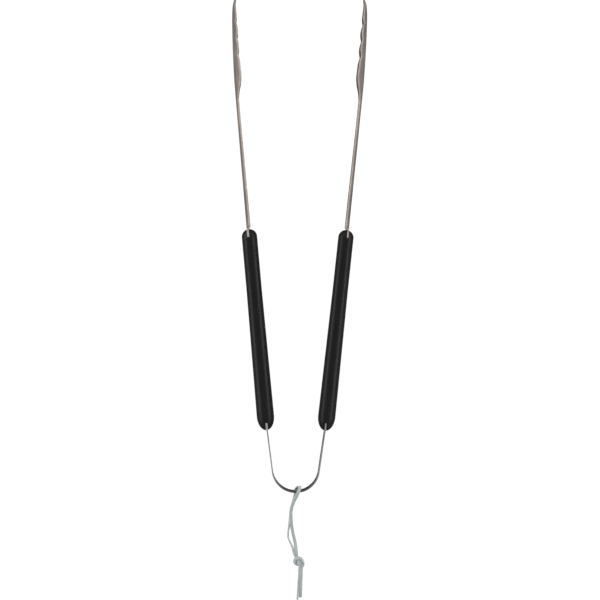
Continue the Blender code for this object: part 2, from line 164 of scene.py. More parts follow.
class Signal:
    """A number that varies over a surface: one shader socket that Python can reckon with."""

    def __init__(self, paint, socket):
        self.paint = paint
        self.socket = socket

    def math(self, operation, *values, clamp=False):
        """The signal that one Math node makes of the values."""
        settings = {"operation": operation, "use_clamp": clamp}
        return self.paint.node("ShaderNodeMath", settings, dict(enumerate(values)))

    def __add__(self, other):
        return self.math("ADD", self, other)

    def __sub__(self, other):
        return self.math("SUBTRACT", self, other)

    def __rsub__(self, other):
        return self.math("SUBTRACT", other, self)

    def __mul__(self, other):
        return self.math("MULTIPLY", self, other)

    __radd__ = __add__
    __rmul__ = __mul__

    def between(self, low, high):
        """0 up to low, 1 from high, and a straight rise in between."""
        return self.math("MULTIPLY", self - low, 1 / (high - low), clamp=True)


class Paint:
    """One material: its tree, its Principled BSDF and the coordinates that its patterns use."""

    def __init__(self, name, **sockets):
        self.material = bpy.data.materials.new(name)
        self.material.use_nodes = True
        self.tree = self.material.node_tree
        self.shader = self.tree.nodes["Principled BSDF"]
        self.set(**sockets)

    def node(self, kind, settings=None, sockets=None, out=0):
        """A new node of any kind. Its settings come first, and then the values or links of its sockets."""
        node = self.tree.nodes.new(kind)
        for name, value in (settings or {}).items():
            setattr(node, name, value)
        for name, value in (sockets or {}).items():
            self.feed(node.inputs[name], value)
        return Signal(self, node.outputs[out])

    def feed(self, socket, value):
        """Links a signal to a socket, or sets the socket to a plain value."""
        if isinstance(value, Signal):
            self.tree.links.new(value.socket, socket)
        else:
            socket.default_value = value

    def set(self, **sockets):
        """Feeds the shader's own sockets, named with _ for a space."""
        for name, value in sockets.items():
            self.feed(self.shader.inputs[name.replace("_", " ")], value)

    def grain(self, scale):
        """The piece's own coordinates, Y along it, stretched by a scale for each axis."""
        own = self.node("ShaderNodeAttribute", {"attribute_name": "grain"}, out="Vector")
        return self.node("ShaderNodeVectorMath", {"operation": "MULTIPLY"}, {0: own, 1: scale})

    def noise(self, scale, detail=2.0, roughness=0.5):
        """Noise from 0 to 1, with one scale for each axis of the piece."""
        sockets = {"Vector": self.grain(scale), "Scale": 1.0, "Detail": detail, "Roughness": roughness}
        return self.node("ShaderNodeTexNoise", None, sockets, out="Fac")

    def ramp(self, value, *stops):
        """A colour for each of a few values, blended in between."""
        ramp = self.node("ShaderNodeValToRGB", None, {"Fac": value}, out="Color")
        elements = ramp.socket.node.color_ramp.elements
        while len(elements) < len(stops):
            elements.new(1.0)
        for element, (place, colour) in zip(elements, stops):
            element.position = place
            element.color = (*colour, 1.0)
        return ramp

    def mix(self, share, first, second):
        """A blend of two colours."""
        node = self.tree.nodes.new("ShaderNodeMix")
        node.data_type = "RGBA"
        shown = {socket.name: socket for socket in node.inputs if socket.enabled}
        for name, value in (("Factor", share), ("A", first), ("B", second)):
            self.feed(shown[name], value)
        return Signal(self, next(socket for socket in node.outputs if socket.enabled))

    def bump(self, height, distance, strength=1.0):
        """Small relief, in metres, that is too fine to model."""
        sockets = {"Height": height, "Distance": distance, "Strength": strength}
        self.set(Normal=self.node("ShaderNodeBump", None, sockets, out="Normal"))


# %% [markdown]
# ## Steel
#
# The arms are pressed from stainless sheet and then satin-finished along their length. The real surface
# is not one grey: it has long faint streaks from the rolling and cloudy patches where the tool pressed
# harder. Each is a noise that is stretched along the piece and moves the colour and the roughness
# together, and the streaks also give a very shallow bump, as real scratches do. Inside the scoops and on
# the bow, a mask mixes in painted shade and painted dark reflection: a dark, less metallic colour with a
# little more roughness.

# %% Mix the steels
STREAK_SCALE = (2600.0, 26.0, 2600.0)
CLOUD_SCALE = (60.0, 34.0, 60.0)
STREAK_SHARE = 0.45
SHADE_SPAN = (0.32, 0.70)
SCRATCH_DEPTH = 0.00003
# Painted shade and painted dark reflection: its colour from dark to pale, and how much it takes from the
# metal and adds to the roughness.
PAINTED_SHADE_DARK = (0.035, 0.030, 0.031)
PAINTED_SHADE_PALE = (0.085, 0.076, 0.076)
PAINTED_SHADE_METAL_LOSS = 0.5
PAINTED_SHADE_ROUGHNESS = 0.14


def satin_steel(name, dark, light, roughness, edge_tint, painted_shade_mask=None):
    """Brushed steel between two colours, with streaks along it. A mask says where painted shade darkens it.
    """
    paint = Paint(name, Metallic=1.0, Specular_Tint=(edge_tint, edge_tint, edge_tint, 1.0))
    streaks = paint.noise(STREAK_SCALE, detail=4.0, roughness=0.60)
    clouds = paint.noise(CLOUD_SCALE, detail=3.0)
    shade = (STREAK_SHARE * streaks + (1 - STREAK_SHARE) * clouds).between(*SHADE_SPAN)
    bright = paint.ramp(shade, (0.0, dark), (1.0, light))
    polish = roughness + 0.16 * (streaks - 0.5) + 0.12 * (clouds - 0.5)
    # Painted shade: where the mask is, the steel turns dark and less metallic, and a little rougher.
    if painted_shade_mask:
        scale = painted_shade_mask(paint)
        painted_shade_colour = paint.ramp(shade, (0.0, PAINTED_SHADE_DARK), (1.0, PAINTED_SHADE_PALE))
        paint.set(Base_Color=paint.mix(scale, bright, painted_shade_colour), Metallic=1 - PAINTED_SHADE_METAL_LOSS * scale)
        polish = polish + PAINTED_SHADE_ROUGHNESS * scale
    else:
        paint.set(Base_Color=bright)
    paint.set(Roughness=polish)
    paint.bump(streaks, SCRATCH_DEPTH, 0.35)
    return paint.material


# How strongly painted shade darkens the hollow side of the arms.
HOLLOW_PAINTED_SHADE = 0.9


def hollow_painted_shade_mask(paint):
    """The hollow side of the pressed sheet, which takes painted shade."""
    return HOLLOW_PAINTED_SHADE * paint.node("ShaderNodeAttribute", {"attribute_name": "inside"}, out="Fac")


# The painted shade on the bow covers its wide faces everywhere and its edges only round the crown.
EDGE_FADE = (STRIP_WIDTH / 2 - 0.0004, STRIP_WIDTH / 2 - 0.0002)
CROWN_SHADE_FADE = (0.012, 0.034)
CROWN_EDGE_CLEAR = 0.30


def bow_painted_shade_mask(paint):
    """Painted shade and painted dark reflection on the strip's wide faces, and on most of it round the
    crown.
    """
    own = paint.grain((1.0, 1.0, 1.0))
    place = paint.node("ShaderNodeSeparateXYZ", None, {0: own}, out="Y")
    height = paint.node("ShaderNodeSeparateXYZ", None, {0: own}, out="Z")
    edge = height.math("ABSOLUTE", height).between(*EDGE_FADE)
    return 1 - edge * (CROWN_EDGE_CLEAR + (1 - CROWN_EDGE_CLEAR) * place.between(*CROWN_SHADE_FADE))


ARM_STEEL = satin_steel(
    "satin pressed steel", dark=(0.40, 0.352, 0.318), light=(0.70, 0.620, 0.560),
    roughness=0.47, edge_tint=0.9, painted_shade_mask=hollow_painted_shade_mask,
)
BOW_STEEL = satin_steel(
    "tempered spring steel", dark=(0.42, 0.400, 0.385), light=(0.70, 0.672, 0.650),
    roughness=0.34, edge_tint=0.4, painted_shade_mask=bow_painted_shade_mask,
)
RIVET_STEEL = satin_steel(
    "ground rivet steel", dark=(0.35, 0.335, 0.32), light=(0.56, 0.54, 0.52),
    roughness=0.32, edge_tint=0.9,
)
print("three steels")

# %% [markdown]
# ## Stained wood
#
# The grips are turned, stained black and rubbed down to a low sheen, so they show no figure, only pores:
# short dark lines along the grain that break up the highlight. Pores are a noise that is stretched far
# along the grip and then cut off high, and the same mask deepens the colour, dulls the finish and dents
# the surface.

# %% Mix the stain
FIBRE_SCALE = (1500.0, 70.0, 1500.0)
PORE_SCALE = (1900.0, 110.0, 1900.0)
WEAR_SCALE = (110.0, 60.0, 110.0)
PORE_DEPTH = 0.00006
DEEP_STAIN = (0.0022, 0.0020, 0.0021)
WORN_STAIN = (0.0070, 0.0064, 0.0066)


def stained_wood():
    """Black stain over open pores, rubbed to a low sheen."""
    paint = Paint("black stained wood", IOR=1.37)
    fibres = paint.noise(FIBRE_SCALE, detail=4.0, roughness=0.6)
    pores = paint.noise(PORE_SCALE, detail=1.0).between(0.60, 0.72)
    wear = paint.noise(WEAR_SCALE, detail=3.0)
    tone = (0.5 * fibres + 0.5 * wear).between(0.30, 0.72) * (1 - 0.6 * pores)
    paint.set(Base_Color=paint.ramp(tone, (0.0, DEEP_STAIN), (1.0, WORN_STAIN)))
    paint.set(Roughness=0.39 + 0.10 * (wear - 0.5) + 0.10 * pores)
    paint.bump(0.35 * fibres - pores, PORE_DEPTH, 0.4)
    return paint.material


GRIP_WOOD = stained_wood()
print("one stain")

# %% [markdown]
# ## Suede
#
# The lace is a strip cut from a dyed split hide. Suede has no gloss: its nap scatters light, so the
# shader gets nearly full roughness and a little sheen. The nap lies in patches, paler where it is brushed
# one way and darker where it is brushed the other, which is what makes suede look like suede.

# %% Mix the suede
NAP_SCALE = (900.0, 420.0, 900.0)
PATCH_SCALE = (330.0, 110.0, 330.0)
NAP_DEPTH = 0.00012
DARK_NAP = (0.45, 0.505, 0.50)
PALE_NAP = (0.68, 0.74, 0.735)


def suede():
    """A soft nap in patches, with no gloss."""
    paint = Paint("grey green suede", Roughness=0.95, Sheen_Weight=0.35, Sheen_Roughness=0.6, IOR=1.35)
    nap = paint.noise(NAP_SCALE, detail=3.0, roughness=0.7)
    patches = paint.noise(PATCH_SCALE, detail=2.0)
    shade = (0.5 * nap + 0.5 * patches).between(0.28, 0.72)
    paint.set(Base_Color=paint.ramp(shade, (0.0, DARK_NAP), (1.0, PALE_NAP)))
    paint.bump(nap + 0.6 * patches, NAP_DEPTH, 0.8)
    return paint.material


LACE_SUEDE = suede()
print("one suede")

# %% [markdown]
# ## The camera
#
# The camera stands about two metres above the table and a little to the left, with a long lens, so the
# tongs lie almost flat in the picture, and it still looks into the right arm and the right half of the
# bow. It is aimed rather than shifted, and rolled by half a degree.

# %% Set the camera
SHOT_HEIGHT = 2.0
VIEW_WIDTH = 0.5499
SENSOR = 36.0
CAMERA_AIM = Vector((0.0026, -0.0492, 0.0125))
CAMERA_PLACE = CAMERA_AIM + Vector((-0.0466, 0.0, SHOT_HEIGHT))
CAMERA_ROLL = math.radians(0.49)


def aimed(place, aim, roll=0.0):
    """A matrix that stands at a place and looks at a point, with +Y up in its picture."""
    back = (place - aim).normalized()
    right = Vector((0, 1, 0)).cross(back).normalized()
    up = back.cross(right)
    turn = Matrix((right, up, back)).transposed() @ Matrix.Rotation(roll, 3, "Z")
    return Matrix.Translation(place) @ turn.to_4x4()


lens = bpy.data.cameras.new("camera")
lens.sensor_width = SENSOR
lens.lens = SENSOR * SHOT_HEIGHT / VIEW_WIDTH
camera = bpy.data.objects.new("camera", lens)
bpy.context.scene.collection.objects.link(camera)
camera.matrix_world = aimed(CAMERA_PLACE, CAMERA_AIM, CAMERA_ROLL)
bpy.context.scene.camera = camera
print("lens", round(lens.lens), "mm")

# %% [markdown]
# ## Skins from rings
#
# Every sheet and bar here has the same structure: a closed ring of points that slides along a path and
# changes as it goes. One function joins such rings to a closed skin. It also stores each point's place
# in the piece's own coordinates, called `grain`, so a material can run its streaks along a bent piece.

# %% Join rings to a skin


def new_piece(name, mesh, material):
    """An object at the origin for a finished mesh, in one material."""
    obj = bpy.data.objects.new(name, mesh)
    bpy.context.scene.collection.objects.link(obj)
    mesh.materials.clear()
    mesh.materials.append(material)
    return obj


def skin(name, rings, grain, material, matrix=None, sharp=None, inside=None):
    """A closed piece through rings of points. An end ring whose points meet in pairs closes by itself."""
    count, around = rings.shape[:2]
    low, turn = np.meshgrid(np.arange(count - 1), np.arange(around), indexing="ij")
    after = (turn + 1) % around
    corners = (low * around + turn, low * around + after)
    corners += ((low + 1) * around + after, (low + 1) * around + turn)
    mesh = bpy.data.meshes.new(name)
    mesh.from_pydata(rings.reshape(-1, 3).tolist(), [], np.stack(corners, -1).reshape(-1, 4).tolist())
    stored = mesh.attributes.new("grain", "FLOAT_VECTOR", "POINT")
    stored.data.foreach_set("vector", grain.reshape(-1).astype(np.float32))
    if inside is not None:
        shares = np.tile(inside, count).astype(np.float32)
        mesh.attributes.new("inside", "FLOAT", "POINT").data.foreach_set("value", shares)
    if matrix is not None:
        mesh.transform(matrix)
    return closed_piece(name, mesh, material, sharp)


MERGE_DISTANCE = 1e-6


def closed_piece(name, mesh, material, sharp=None):
    """Merges what meets, turns the faces outwards and shades the piece smooth."""
    work = bmesh.new()
    work.from_mesh(mesh)
    bmesh.ops.remove_doubles(work, verts=work.verts, dist=MERGE_DISTANCE)
    bmesh.ops.recalc_face_normals(work, faces=work.faces)
    work.to_mesh(mesh)
    open_edges = sum(not edge.is_manifold for edge in work.edges)
    work.free()
    mesh.shade_smooth()
    if sharp:
        mesh.set_sharp_from_angle(angle=sharp)
    print(name, len(mesh.polygons), "faces,", open_edges, "open edges")
    return new_piece(name, mesh, material)


# %% [markdown]
# ## Sheet with a real edge
#
# Sheet steel and a cut lace are both thin sheets. A sheet is easiest to give as a grid of points in the
# middle of its thickness, a row for each step along it. Its two faces lie half a thickness to each side,
# along the surface normal. The rim between them is a rounded corner and not a knife edge, because that
# thin rounded band is what catches the light on a real stamping.

# %% Give a sheet its thickness and its rim
RIM_STEPS = 6
END_STEPS = 4


def unit(vectors):
    """The vectors, each scaled to a length of 1."""
    return vectors / np.linalg.norm(vectors, axis=-1, keepdims=True)


def slope(values, axis):
    """The unit direction in which a grid runs along one of its axes."""
    return unit(np.gradient(values, axis=axis))


def rim_profile(squareness):
    """Points of a rim from one face to the other: (outwards, across), each at most 1."""
    turns = np.linspace(0, math.pi, RIM_STEPS + 1)
    out = np.abs(np.sin(turns)) ** squareness
    across = np.sign(np.cos(turns)) * np.abs(np.cos(turns)) ** squareness
    return out, across


def thick_sheet(grid, thickness, squareness=0.55):
    """Rings round a sheet. grid is rows x columns x 3, in the middle of its thickness."""
    along, aside = slope(grid, 0), slope(grid, 1)
    normal = unit(np.cross(aside, along))
    out, across = (part[None, 1:-1, None] for part in rim_profile(squareness))
    half = thickness / 2

    def rim(column, direction, order):
        edge, away, up = (part[:, column, None] for part in (grid, direction * aside, normal))
        return (edge + half * (out * away + across * up))[:, ::order]

    top, under = grid + half * normal, (grid - half * normal)[:, ::-1]
    rings = np.concatenate([top, rim(-1, 1, 1), under, rim(0, -1, -1)], 1)

    def round_about(part):
        """The grid's own values in the order of a ring's points: over, down the rim, back and up again."""
        last, first = (np.repeat(edge, RIM_STEPS - 1, 1) for edge in (part[:, -1:], part[:, :1]))
        return np.concatenate([part, last, part[:, ::-1], first], 1)

    spine, ahead = round_about(grid), round_about(along)
    angles = np.linspace(0, math.pi / 2, END_STEPS + 1)[1:]
    ends = []
    for row, direction in ((0, -1), (-1, 1)):
        ends.append(
            np.stack(
                [
                    spine[row] + (rings[row] - spine[row]) * math.cos(a)
                    + direction * half * math.sin(a) * ahead[row]
                    for a in angles
                ]
            )
        )
    return np.concatenate([ends[0][::-1], rings, ends[1]])


# %% [markdown]
# ## The bow
#
# The bow is one strip of spring steel, bent round a mandrel. Its shape follows a rule, a flat section
# that is swept along a bent line, which is just what Geometry Nodes do well: resample a curve, sweep a
# rounded rectangle along it, and narrow it where it goes into the grip. The tree has named inputs for its
# sizes, so another strip is only other numbers. The bow bends when the tongs close, so it is made as two
# halves that meet at the crown.

# %% Start a node tree


def new_tree(name, **inputs):
    """An empty Geometry Nodes tree, with a geometry input, named inputs and a geometry output."""
    tree = bpy.data.node_groups.new(name, "GeometryNodeTree")
    tree.interface.new_socket("Geometry", in_out="OUTPUT", socket_type="NodeSocketGeometry")
    tree.interface.new_socket("Geometry", in_out="INPUT", socket_type="NodeSocketGeometry")
    for title, kind in inputs.items():
        tree.interface.new_socket(title.replace("_", " "), in_out="INPUT", socket_type="NodeSocket" + kind)
    return tree


class Plan:
    """Adds nodes to a Geometry Nodes tree. A socket or a plain value may feed any input."""

    def __init__(self, tree):
        self.tree = tree
        self.inputs = tree.nodes.new("NodeGroupInput").outputs

    def node(self, kind, settings=None, sockets=None):
        node = self.tree.nodes.new("GeometryNode" + kind if not kind.startswith("ShaderNode") else kind)
        for name, value in (settings or {}).items():
            setattr(node, name, value)
        for name, value in (sockets or {}).items():
            if isinstance(value, bpy.types.NodeSocket):
                self.tree.links.new(value, node.inputs[name])
            else:
                node.inputs[name].default_value = value
        return node.outputs

    def math(self, operation, *values):
        return self.node("ShaderNodeMath", {"operation": operation}, dict(enumerate(values)))[0]

    def finish(self, geometry, material):
        """Every tree ends in real geometry with a material."""
        real = self.node("RealizeInstances", None, {"Geometry": geometry})[0]
        done = self.node("SetMaterial", None, {"Geometry": real, "Material": material})[0]
        self.tree.links.new(done, self.tree.nodes.new("NodeGroupOutput").inputs[0])


def grown(obj, tree, matrix, **values):
    """Runs a tree on an object and returns the mesh that it makes, as plain data in its place."""
    modifier = obj.modifiers.new("nodes", "NODES")
    modifier.node_group = tree
    for item in tree.interface.items_tree:
        if item.in_out == "INPUT" and item.name.replace(" ", "_") in values:
            modifier[item.identifier] = values[item.name.replace(" ", "_")]
    bpy.context.view_layer.update()
    shape = obj.evaluated_get(bpy.context.evaluated_depsgraph_get())
    mesh = bpy.data.meshes.new_from_object(shape)
    mesh.transform(matrix)
    bpy.data.objects.remove(obj, do_unlink=True)
    return mesh


# %% Plan the swept strip
CORNER_POINTS = 3
strip_tree = new_tree(
    "swept strip",
    Width="Float", Tang_Width="Float", Thickness="Float", Corner="Float",
    Shoulder="Float", Steps="Int", Steel="Material",
)
plan = Plan(strip_tree)
path = plan.node(
    "ResampleCurve", None,
    {"Curve": plan.inputs["Geometry"], "Count": plan.inputs["Steps"]},
)[0]
place = plan.node("SplineParameter")["Length"]
capture = strip_tree.nodes.new("GeometryNodeCaptureAttribute")
capture.capture_items.new("FLOAT", "Place")
strip_tree.links.new(path, capture.inputs["Geometry"])
strip_tree.links.new(place, capture.inputs["Place"])
section = plan.node(
    "CurvePrimitiveQuadrilateral", None,
    {"Width": plan.inputs["Thickness"], "Height": plan.inputs["Width"]},
)[0]
section = plan.node(
    "FilletCurve", {"mode": "POLY"},
    {"Curve": section, "Radius": plan.inputs["Corner"], "Count": CORNER_POINTS},
)[0]
swept = plan.node(
    "CurveToMesh", None,
    {"Curve": capture.outputs["Geometry"], "Profile Curve": section, "Fill Caps": True},
)[0]
here = plan.node("InputPosition")[0]
part = plan.node("ShaderNodeSeparateXYZ", None, {0: here})
inside = plan.math("GREATER_THAN", capture.outputs["Place"], plan.inputs["Shoulder"])
tang_share = plan.math("DIVIDE", plan.inputs["Tang Width"], plan.inputs["Width"])
loss = plan.math("MULTIPLY", inside, plan.math("SUBTRACT", 1.0, tang_share))
height = plan.math("MULTIPLY", part[2], plan.math("SUBTRACT", 1.0, loss))
narrow = plan.node("ShaderNodeCombineXYZ", None, {0: part[0], 1: part[1], 2: height})[0]
own = plan.node("ShaderNodeCombineXYZ", None, {0: 0.0, 1: capture.outputs["Place"], 2: part[2]})[0]
marked = plan.node(
    "StoreNamedAttribute", {"data_type": "FLOAT_VECTOR", "domain": "POINT"},
    {"Geometry": swept, "Name": "grain", "Value": own},
)[0]
narrowed = plan.node("SetPosition", None, {"Geometry": marked, "Position": narrow})[0]
plan.finish(narrowed, plan.inputs["Steel"])
print("strip tree:", len(strip_tree.nodes), "nodes")

# %% Sweep the two halves of the bow
BOW_STEPS = 240
BEND_POINTS = 60
LEG_POINTS = 8
STRIP_CORNER = 0.00028
TANG_SHARES = (0.05, 0.25, 0.50, 0.75, 1.00)
BOW_SHARP = math.radians(40)


def bow_line():
    """The strip's middle line in the tongs' own frame, from the crown down one leg to its end."""
    along = Vector((math.sin(GRIP_SLANT), math.cos(GRIP_SLANT), 0))
    out = Vector((math.cos(GRIP_SLANT), -math.sin(GRIP_SLANT), 0))
    foot = Vector((*GRIP_FOOT, 0.0)) + out * LEG_MIDDLE
    centre = Vector((0.0, STRIP_THICKNESS / 2 + BOW_RADIUS, 0.0))
    arc = [
        centre + BOW_RADIUS * Vector((math.sin(a), -math.cos(a), 0))
        for a in np.linspace(0, BOW_TURN, BEND_POINTS)
    ]
    leg = [arc[-1].lerp(foot, k / LEG_POINTS) for k in range(1, LEG_POINTS + 1)]
    tang = [foot + along * LEG_END * share for share in TANG_SHARES]
    return arc + leg + tang


def poly_curve(name, points):
    """A curve object of straight steps through the points."""
    curve = bpy.data.curves.new(name, "CURVE")
    curve.dimensions = "3D"
    spline = curve.splines.new("POLY")
    spline.points.add(len(points) - 1)
    for target, point in zip(spline.points, points):
        target.co = (*point, 1.0)
    obj = bpy.data.objects.new(name, curve)
    bpy.context.scene.collection.objects.link(obj)
    return obj


line = bow_line()
free = line[: BEND_POINTS + LEG_POINTS]
to_foot = sum((b - a).length for a, b in zip(free, free[1:]))
bow_halves = {}
for side, sign in SIDES.items():
    guide = poly_curve("bow line", [Vector((sign * p.x, p.y, p.z)) for p in line])
    mesh = grown(
        guide, strip_tree, TONGS,
        Width=STRIP_WIDTH, Tang_Width=TANG_WIDTH, Thickness=STRIP_THICKNESS, Corner=STRIP_CORNER,
        Shoulder=to_foot + KERF_DEPTH, Steps=BOW_STEPS, Steel=BOW_STEEL,
    )
    bow_halves[side] = closed_piece(f"bow_{side}_half", mesh, BOW_STEEL, sharp=BOW_SHARP)

# %% [markdown]
# ## The arms
#
# Each arm starts as a flat tang inside the grip. Outside it becomes a shallow gutter, which stiffens the
# thin sheet, and at the neck the gutter opens into a scoop with a scalloped rim and a tip that hooks
# inwards. Every section is the same curve, a shallow parabola, and only its width, its depth and its
# place change. So the arm is a loft of computed sections rather than a sculpted form, and a smooth
# curve through a few listed values drives each of the three.

# %% Draw smooth curves through a few values


def smooth_through(knots, at):
    """Value at a place on the smooth curve through (place, value) knots, which never overshoots them."""
    if at <= knots[0][0]:
        return knots[0][1]
    if at >= knots[-1][0]:
        return knots[-1][1]
    rises = [(b[1] - a[1]) / (b[0] - a[0]) for a, b in zip(knots, knots[1:])]
    slopes = [rises[0]]
    for before, after in zip(rises, rises[1:]):
        slopes.append(2 * before * after / (before + after) if before * after > 0 else 0.0)
    slopes.append(rises[-1])
    i = max(k for k in range(len(knots) - 1) if knots[k][0] <= at)
    (start, low), (end, high) = knots[i], knots[i + 1]
    span = end - start
    t = (at - start) / span
    return (
        low * (1 + 2 * t) * (1 - t) ** 2
        + high * t * t * (3 - 2 * t)
        + span * (slopes[i] * t * (1 - t) ** 2 + slopes[i + 1] * t * t * (t - 1))
    )


# %% Loft the arms
NECK_RUN = SHANK_LENGTH / 10
ARM_COLUMNS = 28
TANG_ROWS = 40
SHOULDER_ROWS = 4
KERF_ROWS = 6
RUN_ROWS = 16
SHANK_ROWS = 56
HEAD_ROWS = 210


def arm_section(place):
    """Half width, hollow and back of the arm at a distance from the grip's lower end."""
    head = [(0.0, NECK_WIDTH / HEAD_WIDTH, NECK_HOLLOW / HEAD_HOLLOW, 0.0), *HEAD_SHAPE]
    head = [(NECK + HEAD_LENGTH * row[0], *row[1:]) for row in head]
    start = [(GRIP_LENGTH, SHANK_WIDTH), (NECK - NECK_RUN, NECK_WIDTH)]
    width = smooth_through(start + [(row[0], HEAD_WIDTH * row[1]) for row in head], place)
    if place < KERF_TOP + CLEARANCE:
        width = TANG_WIDTH
    start = [(GRIP_LENGTH, 0.0), (GRIP_LENGTH + GUTTER_RUN, SHANK_HOLLOW)]
    hollow = smooth_through(start + [(row[0], HEAD_HOLLOW * row[2]) for row in head], place)
    falls = [(GRIP_LENGTH, 0.0)] + [(row[0], NECK_FALL + HEAD_FALL * row[3]) for row in head]
    return width / 2, hollow, TANG_MIDDLE - smooth_through(falls, place)


def notch(place):
    """How deep the rim is notched at a distance from the neck."""
    phase = (place - NOTCH_START) / NOTCH_PITCH
    if not -0.5 < phase < NOTCH_COUNT - 0.5:
        return 0.0
    return NOTCH_DEPTH * (1 - abs(math.sin(math.pi * phase)))


def arm_grid():
    """The middle of the arm's sheet. The rim keeps half a thickness for its round."""
    step = CLEARANCE / 2
    places = [
        np.linspace(TANG_START, KERF_TOP, TANG_ROWS),
        KERF_TOP + CLEARANCE + step * np.arange(SHOULDER_ROWS),
        np.linspace(KERF_TOP + 5 * CLEARANCE, GRIP_LENGTH, KERF_ROWS),
        np.linspace(GRIP_LENGTH, GRIP_LENGTH + GUTTER_RUN, RUN_ROWS)[1:],
        np.linspace(GRIP_LENGTH + GUTTER_RUN, NECK, SHANK_ROWS)[1:],
        np.linspace(NECK, TIP, HEAD_ROWS)[1:],
    ]
    rows = []
    for place in np.concatenate(places):
        half, hollow, back = arm_section(place)
        depth = notch(place - NECK)
        reach = math.sqrt(1 - depth / hollow) if depth else 1.0
        reach -= SHEET / 2 / half
        across = np.linspace(-reach, reach, ARM_COLUMNS + 1)
        rows.append(np.stack([back - hollow * across ** 2, np.full_like(across, place), half * across], 1))
    return np.array(rows)


arms = {}
arm_rings = thick_sheet(arm_grid(), SHEET)
hollow_side = np.zeros(arm_rings.shape[1])
hollow_side[: ARM_COLUMNS + 1] = 1.0
for side, sign in SIDES.items():
    place = grip_frame(sign)
    arms[side] = skin(f"{side}_pressed_arm", arm_rings, arm_rings, ARM_STEEL, place, inside=hollow_side)

# %% [markdown]
# ## The grips
#
# A grip is turned as one bar with domed ends, sawn in two along its length, and riveted together again
# over the steel. So each scale is half of a turned shape with a flat face, and the flat face is cut back
# at both ends to leave the kerf in which the steel shows. A ring of such a scale is an arc, two small
# rounded corners and a flat with a shallow channel for the tang, and only three numbers change from one
# ring to the next: its radius, how far its flat is cut back, and the depth of the channel.

# %% Shape a scale's sections
ARC_STEPS = 48
CORNER_STEPS = 4
FLAT_STEPS = 5
DOME_STEPS = 26
BODY_ROWS = 60
EDGE_ROUND = 0.00012
KERF_ROOM = 0.00005
STEP_RUN = 1e-5
LEAST_HEIGHT = 1e-5
LEAST_FLAT = 1.02 * EDGE_ROUND
WIDEST_CHANNEL = 0.9
SCALE_SHARP = math.radians(50)


def grip_radius(place):
    """Radius of the turned grip at a distance from its lower end."""
    body = smooth_through(((GRIP_LOW_DOME, GRIP_LOW_RADIUS), (GRIP_TAPER_END, GRIP_HIGH_RADIUS)), place)
    for dome, inside in ((GRIP_LOW_DOME, place), (GRIP_HIGH_DOME, GRIP_LENGTH - place)):
        if inside < dome:
            body *= math.sqrt(max(0.0, 1 - (1 - inside / dome) ** 2))
    return body


def scale_ring(radius, cut, channel, half_channel):
    """Outline of a scale's section: what a circle leaves outside x = cut, with a channel in its flat."""
    inner = radius - EDGE_ROUND
    corner_x = cut + EDGE_ROUND
    corner_z = math.sqrt(max(inner ** 2 - corner_x ** 2, LEAST_HEIGHT ** 2))
    top = math.atan2(corner_z, corner_x)
    points = [(radius * math.cos(a), radius * math.sin(a)) for a in np.linspace(-top, top, ARC_STEPS)]
    for k in range(1, CORNER_STEPS + 1):
        a = top + (math.pi - top) * k / CORNER_STEPS
        points.append((corner_x + EDGE_ROUND * math.cos(a), corner_z + EDGE_ROUND * math.sin(a)))
    half = min(half_channel, WIDEST_CHANNEL * corner_z)
    depth = channel if half == half_channel else 0.0
    flat = [(cut, half), (cut + depth, half)]
    flat += [(cut + depth, half * (1 - 2 * k / FLAT_STEPS)) for k in range(1, FLAT_STEPS)]
    points += [*flat, (cut + depth, -half), (cut, -half)]
    for k in range(CORNER_STEPS):
        a = math.pi + (math.pi - top) * k / CORNER_STEPS
        points.append((corner_x + EDGE_ROUND * math.cos(a), -corner_z + EDGE_ROUND * math.sin(a)))
    return np.array(points)


def dome_places(dome, start, direction, cut):
    """Places up a domed end, closer together where it curves away, starting where the flat has room."""
    body = grip_radius(start + direction * dome)
    first = math.asin(abs(cut + LEAST_FLAT) / body)
    turns = np.linspace(first, math.pi / 2, DOME_STEPS)
    return start + direction * dome * (1 - np.cos(turns))


# %% Loft the four scales
def scale_rings(outer):
    """Rings of one scale in its grip's own frame, from the foot to the top."""
    if outer:
        low_cut, face, high_cut = SEAM_OFFSET, SEAM_OFFSET, TANG_BACK + KERF_ROOM
        channel = (TANG_START - CLEARANCE, KERF_TOP, TANG_BACK + CLEARANCE - SEAM_OFFSET)
    else:
        low_cut, face, high_cut = KERF_ROOM - LEG_BACK, -SEAM_OFFSET, -SEAM_OFFSET
        channel = (KERF_DEPTH, LEG_END + CLEARANCE, CLEARANCE - LEG_BACK + SEAM_OFFSET)
    low = dome_places(GRIP_LOW_DOME, 0.0, 1, low_cut)
    high = dome_places(GRIP_HIGH_DOME, GRIP_LENGTH, -1, high_cut)[::-1]
    middle = np.linspace(GRIP_LOW_DOME, GRIP_LENGTH - GRIP_HIGH_DOME, BODY_ROWS)[1:-1]
    steps = [[step - STEP_RUN, step + STEP_RUN] for step in (KERF_DEPTH, KERF_TOP, *channel[:2])]
    places = np.unique(np.concatenate([low, middle, high, *steps]))
    places = places[(places >= low[0]) & (places <= high[-1])]
    rows = []
    for place in places:
        cut = low_cut if place < KERF_DEPTH else high_cut if place > KERF_TOP else face
        depth = channel[2] if channel[0] < place < channel[1] else 0.0
        ring = scale_ring(grip_radius(place), cut, depth, TANG_WIDTH / 2 + CLEARANCE)
        rows.append(np.stack([ring[:, 0], np.full(len(ring), place), ring[:, 1]], 1))
    ends = [np.broadcast_to(row.mean(0), row.shape) for row in (rows[0], rows[-1])]
    rings = np.array([ends[0], *rows, ends[1]])
    rings[..., 0] *= 1 if outer else -1
    return rings


scales = {}
for layer, outer in (("outer", True), ("inner", False)):
    rings = scale_rings(outer)
    for side, sign in SIDES.items():
        name = f"{side}_{layer}_grip_half"
        scales[side, layer] = skin(name, rings, rings, GRIP_WOOD, grip_frame(sign), sharp=SCALE_SHARP)

